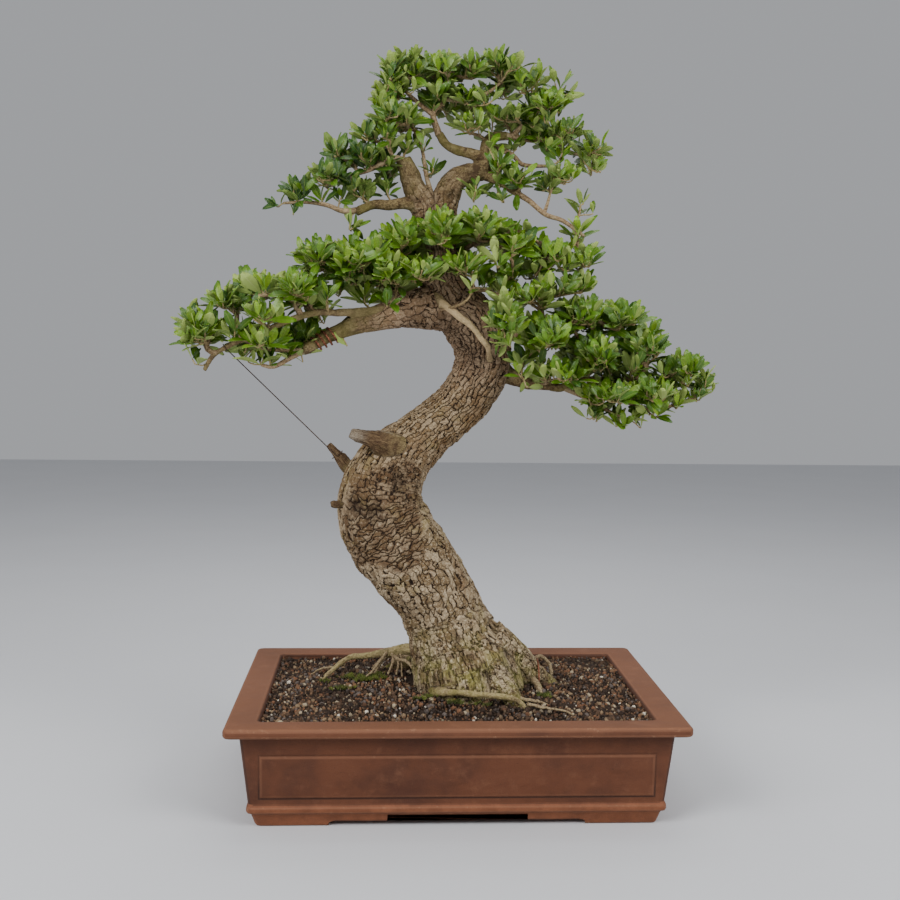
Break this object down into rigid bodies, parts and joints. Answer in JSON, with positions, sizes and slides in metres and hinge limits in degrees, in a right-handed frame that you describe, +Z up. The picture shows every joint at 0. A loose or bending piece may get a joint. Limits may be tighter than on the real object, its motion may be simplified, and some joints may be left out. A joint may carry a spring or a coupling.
{
  "type": "olive bonsai in a rectangular clay pot",
  "caption": "Old olive bonsai with a swept-back trunk, plated bark and pads of small leathery leaves, in a rectangular brown unglazed clay pot.",
  "frame": {"origin": "on the floor, under the middle of the whole object's box", "axes": "+Z up the tree, +X to the right in the picture's view, +Y away from the viewer"},
  "size_m": [0.6418, 0.37, 0.8667],
  "materials": {
    "clay": "matte",
    "grit": "matte",
    "bark": "matte",
    "leaf": "satin",
    "screen_plastic": "matte",
    "iron_wire": "satin",
    "copper_wire": "satin"
  },
  "bodies": {
    "root": {"anchor_wire": "copper_wire", "drain_screen_left": "screen_plastic", "drain_screen_right": "screen_plastic", "guy_wire": "iron_wire", "pot": "clay", "soil": "grit", "spray_crown_back": "leaf", "spray_crown_front": "leaf", "spray_crown_left": "leaf", "spray_crown_right": "leaf", "spray_crown_top": "leaf", "spray_left_long": "leaf", "spray_left_low_back": "leaf", "spray_left_low_front": "leaf", "spray_left_low_tip": "leaf", "spray_left_low_top": "leaf", "spray_left_low_under": "leaf", "spray_left_low_upper": "leaf", "spray_middle_back": "leaf", "spray_middle_front": "leaf", "spray_middle_left": "leaf", "spray_middle_right": "leaf", "spray_right_low_back": "leaf", "spray_right_low_front": "leaf", "spray_right_low_outer": "leaf", "spray_right_low_tip": "leaf", "spray_right_low_top": "leaf", "spray_right_low_under": "leaf", "spray_right_reach": "leaf", "spray_upper_left": "leaf", "spray_upper_left_back": "leaf", "spray_upper_left_front": "leaf", "spray_upper_right": "leaf", "spray_upper_right_back": "leaf", "spray_upper_right_front": "leaf", "spray_upper_right_top": "leaf", "training_wire": "copper_wire", "trunk": "bark"}
  },
  "joints": []
}
